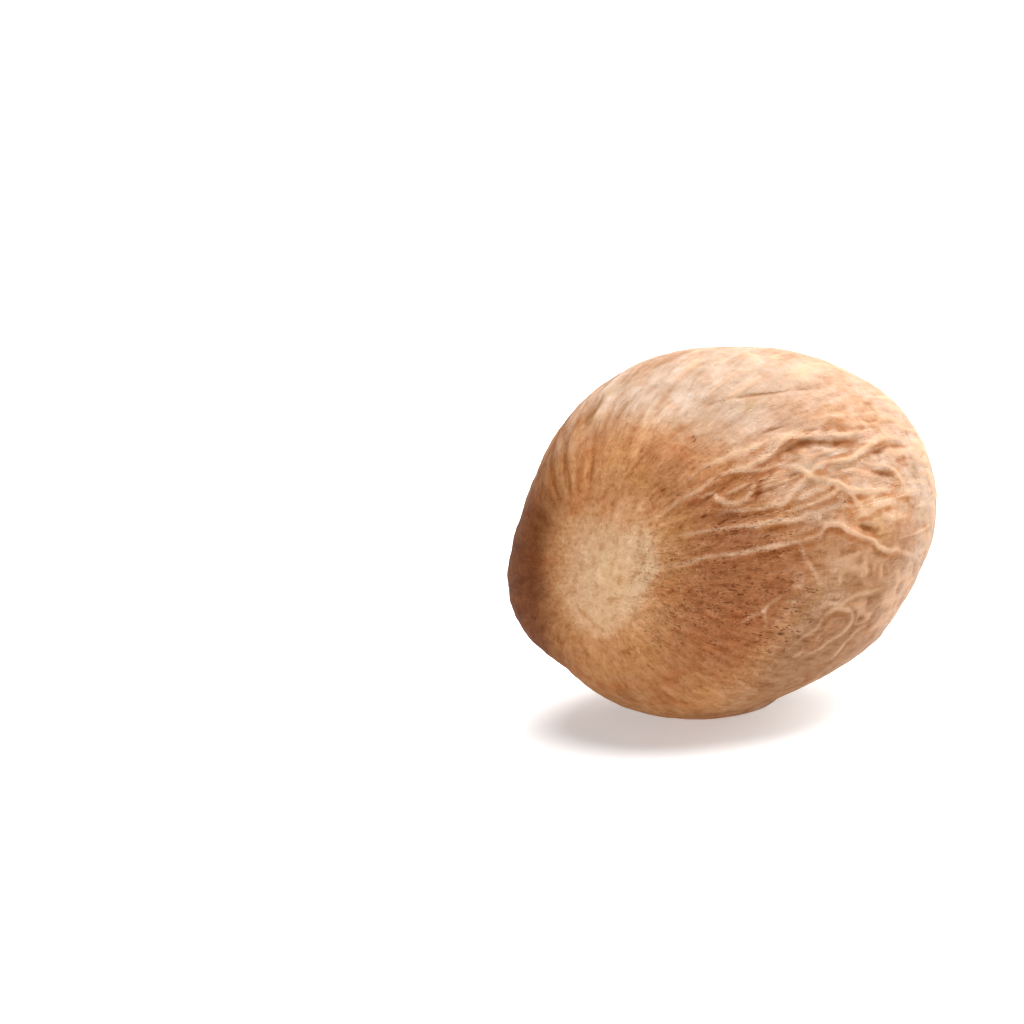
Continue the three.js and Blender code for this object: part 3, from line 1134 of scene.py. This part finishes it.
@dataclass(frozen=True)
class ShellFinish:
    """The dry woody shell: its colours, and the constants of its shader."""

    ground: Colour = srgb(160, 112, 72)
    umber: Tint = Tint(srgb(139, 88, 55))
    dull: Tint = Tint(srgb(136, 99, 70))
    # Paler colour: a painted highlight over the top, the shell's paler tone towards the far end.
    fair_and_highlight: Tint = Tint(srgb(161, 136, 116))
    stain: Tint = Tint(srgb(142, 91, 52), 0.9)
    # Deepest brown, partly a painted shadow on the rim beyond the scar.
    deep_and_shadow: Tint = Tint(srgb(99, 55, 26))
    fringe: Tint = Tint(srgb(183, 134, 94), 0.85)
    scar: Tint = Tint(srgb(188, 152, 117), 0.95)
    bloom: Tint = Tint(srgb(172, 142, 122), 0.55)
    crest: Tint = Tint(srgb(187, 151, 121), 0.8, 0.05, 0.9)
    thread: Tint = Tint(srgb(182, 144, 114), 0.65, 0.2, 1.0)
    # Lightens by the pale mask; low on the front it is painted bounce light from the floor.
    pale: Tint = shade(1.38, 1.42, 1.38, 0.0, 1.0)
    # Painted shadow, with some dirt, along the lower side of each ridge.
    shadow_and_dirt_under_crest: Tint = shade(0.78, 0.6, 0.42, 0.15, 0.9, amount=0.8)
    # Darkens the grooves and dashes: painted shade in the grooves, the dashes' own dark colour.
    groove_shade_and_marks: Tint = shade(0.5, 0.34, 0.2, 0.1, 0.9, amount=0.9)
    pit: Tint = shade(0.55, 0.38, 0.24, 0.0, 1.0, amount=0.85)
    # Painted highlight on the raised lip round each pit.
    lip_and_highlight: Tint = shade(1.22, 1.3, 1.38, 0.0, 1.0)
    streaks: TintPair = TintPair(shade(0.74, 0.62, 0.5, 0.5, 0.0), shade(1.2, 1.28, 1.38, 0.5, 1.0))
    hues: TintPair = TintPair(shade(0.98, 0.86, 0.78, 0.46, 0.32), shade(1.03, 1.05, 0.97, 0.54, 0.68))
    blotches: TintPair = TintPair(shade(0.8, 0.68, 0.58, 0.49, 0.3), shade(1.12, 1.17, 1.24, 0.51, 0.7))
    mottles: TintPair = TintPair(shade(0.72, 0.62, 0.52, 0.48, 0.28), shade(1.18, 1.25, 1.32, 0.52, 0.72))
    # Darker where the relief is low, a painted shade in the hollows, and lighter where it rises.
    hollow_shade_and_rises: TintPair = TintPair(shade(0.82, 0.68, 0.54, 0.45, 0.1), shade(1.2, 1.3, 1.42, 0.55, 1.0))
    fibres: TintPair = TintPair(shade(0.76, 0.64, 0.53, 0.48, 0.3), shade(1.16, 1.22, 1.3, 0.52, 0.7))
    specks: TintPair = TintPair(shade(0.58, 0.46, 0.36, 0.47, 0.3), shade(1.3, 1.4, 1.5, 0.53, 0.72))
    roughness: float = 0.7
    uneven_roughness: float = 0.2
    shine: float = 0.03
    fibre_cells: Span = (34, 11)
    mottle_cells: Span = (17, 11)
    blotch_cells: Span = (12, 7)
    torn_cells: Span = (38, 18)
    dot_cells: Span = (62, 33)
    speckle_cells: float = 4600.0
    dapple_cells: float = 1800.0
    cloud_cells: float = 420.0

    def material(self) -> bpy.types.Material:
        """Builds the material."""
        tree = ShaderTree("shell_finish")
        place = tree.node("ShaderNodeTexCoord", {}, {}).outputs["Object"]
        fibre = tree.drawn_out(self.fibre_cells, detail=3.0)
        mottle = tree.drawn_out(self.mottle_cells, detail=3.0, rough=0.65)
        blotch = tree.drawn_out(self.blotch_cells, detail=2.0)
        speckle = tree.noise(place, self.speckle_cells, detail=3.0, rough=0.7)
        dapple = tree.noise(place, self.dapple_cells, detail=2.0)
        cloud = tree.noise(place, self.cloud_cells, detail=3.0)

        masks = {mask: tree.mask(mask) for mask in Mask}
        scar, fair_and_highlight, deep_and_shadow = masks[Mask.SCAR], masks[Mask.FAIR], masks[Mask.DEEP]
        pitted, threaded = masks[Mask.PITTED], masks[Mask.THREADED]
        off_scar = 1.0 - scar
        crest, under, groove_shade_and_marks = self._lines(tree)
        thread = self._threads(tree, threaded) * (1.0 - 0.85 * deep_and_shadow)
        pit, lip_and_highlight = self._pits(tree, pitted)

        layers = (
            (self.umber, masks[Mask.UMBER], 1.0),
            (self.deep_and_shadow, deep_and_shadow, 1.0),
            (self.dull, masks[Mask.DULL], 1.0),
            (self.fair_and_highlight, fair_and_highlight, 1.0),
            (self.bloom, masks[Mask.BLOOM], 1.0),
            (self.stain, masks[Mask.STAIN], 1.0),
            (self.fringe, masks[Mask.FRINGE], 1.0),
            (self.scar, (scar + 3.0 * (mottle - 0.5) * scar * off_scar).clamped(), 1.0),
            (self.streaks, masks[Mask.STREAK], off_scar),
            (self.hues, cloud, 1.0 - 0.5 * scar),
            (self.blotches, blotch, 0.6 - 0.3 * scar),
            (self.blotches, dapple, 0.55 + 0.4 * scar - 0.25 * fair_and_highlight),
            (self.mottles, mottle, (0.7 - 0.3 * fair_and_highlight + 0.4 * pitted) * (1.0 - 0.6 * scar)),
            # Painted shade in the hollows, and lighter where the relief rises.
            (self.hollow_shade_and_rises, masks[Mask.RISE], off_scar),
            (self.pale, masks[Mask.PALE], 1.0),
            (self.fibres, fibre, (0.5 + 0.4 * threaded + 0.3 * pitted - 0.3 * fair_and_highlight) * (1.0 - 0.7 * scar)),
            (self.thread, thread, 1.0),
            # Painted shadow with some dirt below each ridge.
            (self.shadow_and_dirt_under_crest, under, 1.0),
            (self.crest, crest, 1.0),
            # Painted shade in the grooves, and the dashes' own dark colour.
            (self.groove_shade_and_marks, groove_shade_and_marks, 1.0),
            (self.specks, speckle, (0.18 + 0.52 * pitted) * (1.0 - 0.55 * fair_and_highlight) * (1.0 - 0.35 * scar)),
            # Painted highlight on the raised lip round each pit.
            (self.lip_and_highlight, lip_and_highlight, off_scar),
            (self.pit, pit, 1.0),
        )
        colour: Input = self.ground
        for tint, where, share in layers:
            colour = tint.over(tree, colour, where, share)

        height = 0.03 * crest + 0.04 * thread - 0.05 * groove_shade_and_marks - 0.05 * pit + 0.02 * lip_and_highlight
        height = height + (0.05 * fibre + 0.05 * speckle + 0.08 * mottle) * (1.0 - 0.4 * fair_and_highlight)
        bump = tree.node("ShaderNodeBump", {}, {"Strength": 1.0, "Distance": MM, "Height": height})
        inputs = {
            "Base Color": colour,
            "Roughness": (self.roughness + self.uneven_roughness * (mottle - 0.5)).clamped(),
            "Normal": bump.outputs["Normal"],
            "Specular IOR Level": self.shine,
        }
        return tree.finished(inputs)

    def _lines(self, tree: ShaderTree) -> tuple[Wave, Wave, Wave]:
        """The crests of the ridges, a painted shadow with some dirt along their lower side, and the grooves
        and dashes.
        """
        places, heights = tree.split(tree.guide(Guide.LINE_PLACE)), tree.split(tree.guide(Guide.LINE_HEIGHT))
        line = sum(place.bell() * height for place, height in zip(places, heights))
        below = sum((0.8 * (place + 2.2)).bell() * height for place, height in zip(places, heights))
        return line.at_least(0.0), below.at_least(0.0), (-line).at_least(0.0)

    def _threads(self, tree: ShaderTree, threaded: Wave) -> Wave:
        """The crests of the net."""
        coarse, small, share = tree.split(tree.guide(Guide.NET))
        return ((1.9 * coarse).bell() * share).at_least((1.5 * small).bell() * threaded)

    def _pits(self, tree: ShaderTree, pitted: Wave) -> tuple[Wave, Wave]:
        """The small dark pits, torn marks along the grain and finer dots, and their raised lips, lightened
        with a painted highlight.
        """
        depth = 0.12 * pitted + 0.25 - tree.drawn_out(self.torn_cells, detail=3.0)
        distance, value = tree.specks(tree.grain_cells(self.dot_cells))
        kept = (value + pitted).between(1.1, 2.1)
        dots = (1.0 - distance.between(0.12, 0.42)) * kept
        lip_and_highlight = (30.0 * (depth + 0.03)).bell() + (6.0 * (distance - 0.5)).bell() * kept
        return (dots + depth.between(0.0, 0.06)).clamped(), lip_and_highlight.clamped()


# ---- The seed ----


def placed(name: str, data: bpy.types.ID) -> bpy.types.Object:
    """Makes an object and puts it into the scene."""
    made = bpy.data.objects.new(name, data)
    bpy.context.scene.collection.objects.link(made)
    return made


def turned(thing: bpy.types.Object, back: Vector) -> bpy.types.Object:
    """Turns a lamp or a camera so that its back faces in a direction."""
    thing.rotation_mode = "QUATERNION"
    thing.rotation_quaternion = back.to_track_quat("Z", "Y")
    return thing


@dataclass
class Nutmeg:
    """The whole seed, one closed mesh of four-sided faces."""

    name: str = "nutmeg_shell"
    faces_per_edge: int = 126
    body: EggBody = EggBody()
    scar_frame: ScarFrame = ScarFrame()
    finish: ShellFinish = ShellFinish()
    middle: Vector = field(init=False)

    def build(self) -> bpy.types.Object:
        """Makes the seed, dressed and standing on its flat spot."""
        directions, quads = self._cube_sphere()
        relief = Relief(self.body, self.scar_frame)
        relief.carve(directions)
        raised = self.body.points(directions) + self.body.normals(directions) * relief.height[:, None]
        tipped = self.body.tipped(raised)
        standing = self.body.stood(tipped)
        self.middle = Vector((standing - tipped)[np.argmax(tipped[:, 2])]) * MM

        mesh = bpy.data.meshes.new(self.name)
        mesh.from_pydata((standing * MM).tolist(), [], quads.tolist())
        mesh.shade_smooth()
        for mask, values in relief.masks.items():
            attribute = mesh.attributes.new(mask.value, "FLOAT", "POINT")
            attribute.data.foreach_set("value", values.astype(np.float32))
        for guide, vectors in relief.guides.items():
            attribute = mesh.attributes.new(guide.value, "FLOAT_VECTOR", "POINT")
            attribute.data.foreach_set("vector", vectors.astype(np.float32).ravel())
        mesh.materials.append(self.finish.material())
        return placed(self.name, mesh)

    def _cube_sphere(self) -> tuple[Array, Array]:
        """Divides a sphere into evenly sized four-sided faces.

        Returns:
            The directions of its corners, and the corners of each face, turning outwards.
        """
        count = self.faces_per_edge
        steps = np.arange(count + 1)
        u, v = (grid.ravel() for grid in np.meshgrid(steps, steps, indexing="ij"))
        index: dict[tuple[int, int, int], int] = {}
        quads = []
        for axis in range(3):
            for side in (0, count):
                lattice = np.zeros((len(u), 3), int)
                lattice[:, axis] = side
                lattice[:, (axis + 1) % 3] = u
                lattice[:, (axis + 2) % 3] = v
                corner = np.array([index.setdefault(tuple(place), len(index)) for place in lattice.tolist()])
                corner = corner.reshape(count + 1, count + 1)
                ring = [corner[:-1, :-1], corner[1:, :-1], corner[1:, 1:], corner[:-1, 1:]]
                if side == 0:
                    ring.reverse()
                quads.append(np.stack([c.ravel() for c in ring], axis=1))
        lattice = np.array(list(index), float)
        return unit(np.tan((lattice / count - 0.5) * (math.pi / 2))), np.vstack(quads)


# ---- The studio ----


@dataclass(frozen=True)
class Lamp:
    """A broad distant light: its strength, its spread and where it hangs, in degrees."""

    name: str
    strength: float
    spread: float
    azimuth: float
    height: float

    def hang(self) -> None:
        """Puts the light up."""
        lamp = bpy.data.lights.new(self.name, "SUN")
        lamp.energy = self.strength
        lamp.angle = math.radians(self.spread)
        turned(placed(self.name, lamp), seen_at(self.azimuth, self.height))


@dataclass(frozen=True)
class Studio:
    """A pale floor that glows faintly, under soft light from above and from one side."""

    floor_side: float = 40.0
    floor_colour: Colour = (0.7, 0.7, 0.7, 1.0)
    floor_roughness: float = 0.9
    floor_shine: float = 0.1
    floor_glow: float = 0.42
    sky: float = 0.15
    lamps: tuple[Lamp, ...] = (
        Lamp("side light", 5.4, 60.0, 91.0, 35.0),
        Lamp("overhead light", 5.7, 60.0, 91.0, 85.0),
    )

    def build(self) -> None:
        """Makes the floor, the sky and the lamps."""
        self._floor()
        self._sky()
        for lamp in self.lamps:
            lamp.hang()

    def _floor(self) -> None:
        """Lays the floor at the height that the seed rests on."""
        half = self.floor_side / 2
        corners = [(-half, -half, 0.0), (half, -half, 0.0), (half, half, 0.0), (-half, half, 0.0)]
        mesh = bpy.data.meshes.new("floor")
        mesh.from_pydata(corners, [], [(0, 1, 2, 3)])
        inputs = {
            "Base Color": self.floor_colour,
            "Roughness": self.floor_roughness,
            "Specular IOR Level": self.floor_shine,
            "Emission Color": WHITE,
            "Emission Strength": self.floor_glow,
        }
        mesh.materials.append(ShaderTree("floor_finish").finished(inputs))
        placed("floor", mesh)

    def _sky(self) -> None:
        """Fills the surroundings with even white light."""
        world = bpy.data.worlds.new("studio")
        world.use_nodes = True
        background = world.node_tree.nodes["Background"]
        background.inputs["Color"].default_value = WHITE
        background.inputs["Strength"].default_value = self.sky
        bpy.context.scene.world = world


@dataclass(frozen=True)
class TableCamera:
    """The camera: degrees for its place, millimetres for its sizes, and metres for how far it sees."""

    azimuth: float = -44.0
    elevation: float = 13.0
    distance: float = 228.0
    lens: float = 150.0
    sensor: float = 36.0
    sees: Span = (0.01, 100)
    aim_left: float = 11.3
    aim_down: float = -0.95

    def build(self, middle: Vector) -> None:
        """Sets the camera up.

        Args:
            middle: The middle of the seed's body, in metres.
        """
        back = seen_at(self.azimuth, self.elevation)
        right = seen_at(self.azimuth + 90.0, 0.0)
        up = back.cross(right)
        aim = middle - (right * self.aim_left + up * self.aim_down) * MM
        lens = bpy.data.cameras.new("camera")
        lens.lens = self.lens
        lens.sensor_width = self.sensor
        lens.clip_start, lens.clip_end = self.sees
        camera = turned(placed("camera", lens), back)
        camera.location = aim + back * self.distance * MM
        bpy.context.scene.camera = camera


def main() -> None:
    """Builds the seed, then the studio and the camera."""
    logging.basicConfig(level=logging.INFO, format="%(name)s: %(message)s")
    nutmeg = Nutmeg()
    piece = nutmeg.build()
    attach(piece, "root")
    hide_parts("nutmeg")
    log.info("%s has %d faces", piece.name, len(piece.data.polygons))
    Studio().build()
    log.info("floor and light are up")
    TableCamera().build(nutmeg.middle)
    bpy.context.scene.view_settings.view_transform = "Standard"


if __name__ == "__main__":
    main()
